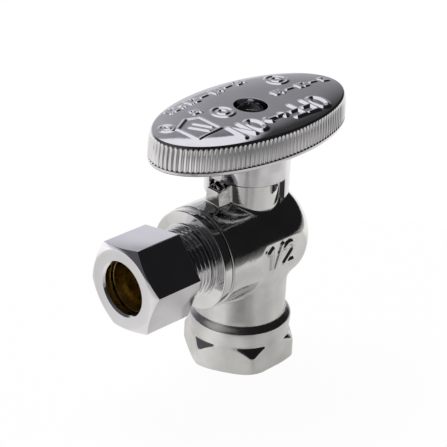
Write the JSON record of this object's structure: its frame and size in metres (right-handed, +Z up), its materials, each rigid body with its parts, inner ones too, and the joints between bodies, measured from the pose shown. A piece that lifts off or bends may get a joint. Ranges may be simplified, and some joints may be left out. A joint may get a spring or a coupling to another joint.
{
  "type": "angle stop valve",
  "caption": "Chrome quarter-turn angle stop valve: hexagon pipe inlet below, compression nut outlet at the side, fluted oval handle on top.",
  "frame": {"origin": "stem and inlet axis, on the plane of the inlet hexagon's bottom face", "axes": "+Z up along the stem, -Y along the outlet towards the compression nut, +X to the right when the outlet points to the viewer"},
  "size_m": [0.0306, 0.0688, 0.0676],
  "materials": {
    "chrome_body": "bright chrome plate on forged brass",
    "chrome_adapter": "bright chrome plate on turned brass",
    "chrome_nut": "bright chrome plate on brass",
    "chrome_handle": "chrome plate on die-cast zinc",
    "chrome_ball": "polished chrome plate",
    "brass": "raw machined brass",
    "steel": "zinc plate",
    "seat_plastic": "white slippery seat plastic",
    "rubber": "matt black rubber"
  },
  "bodies": {
    "body": {"valve_body": "chrome_body", "outlet_adapter": "chrome_adapter", "adapter_seal": "rubber", "seat_outlet": "seat_plastic", "seat_rear": "seat_plastic", "stem_washer": "seat_plastic"},
    "handle": {"handle": "chrome_handle", "handle_screw": "steel", "handle_washer": "steel", "stem": "brass", "stem_o_ring_lower": "rubber", "stem_o_ring_upper": "rubber", "ball": "chrome_ball"},
    "ferrule": {"ferrule": "brass"},
    "nut": {"compression_nut": "chrome_nut"}
  },
  "joints": [
    {"name": "handle_turn", "type": "hinge", "parent": "body", "child": "handle", "pos_m": [0, 0, 0], "axis": [0, 0, 1], "range_deg": [-90, 0]},
    {"name": "ferrule_slide", "type": "slide", "parent": "body", "child": "ferrule", "axis": [0, 1, 0], "range_m": [-0.0064, 0.0008]},
    {"name": "nut_turn", "type": "hinge", "parent": "ferrule", "child": "nut", "pos_m": [0, 0, 0.032], "axis": [0, 1, 0], "range_deg": [-1800, 226]}
  ],
  "couplings": [
    {"joint": "ferrule_slide", "follows": "nut_turn", "m_per_rad": 0.00020213}
  ]
}
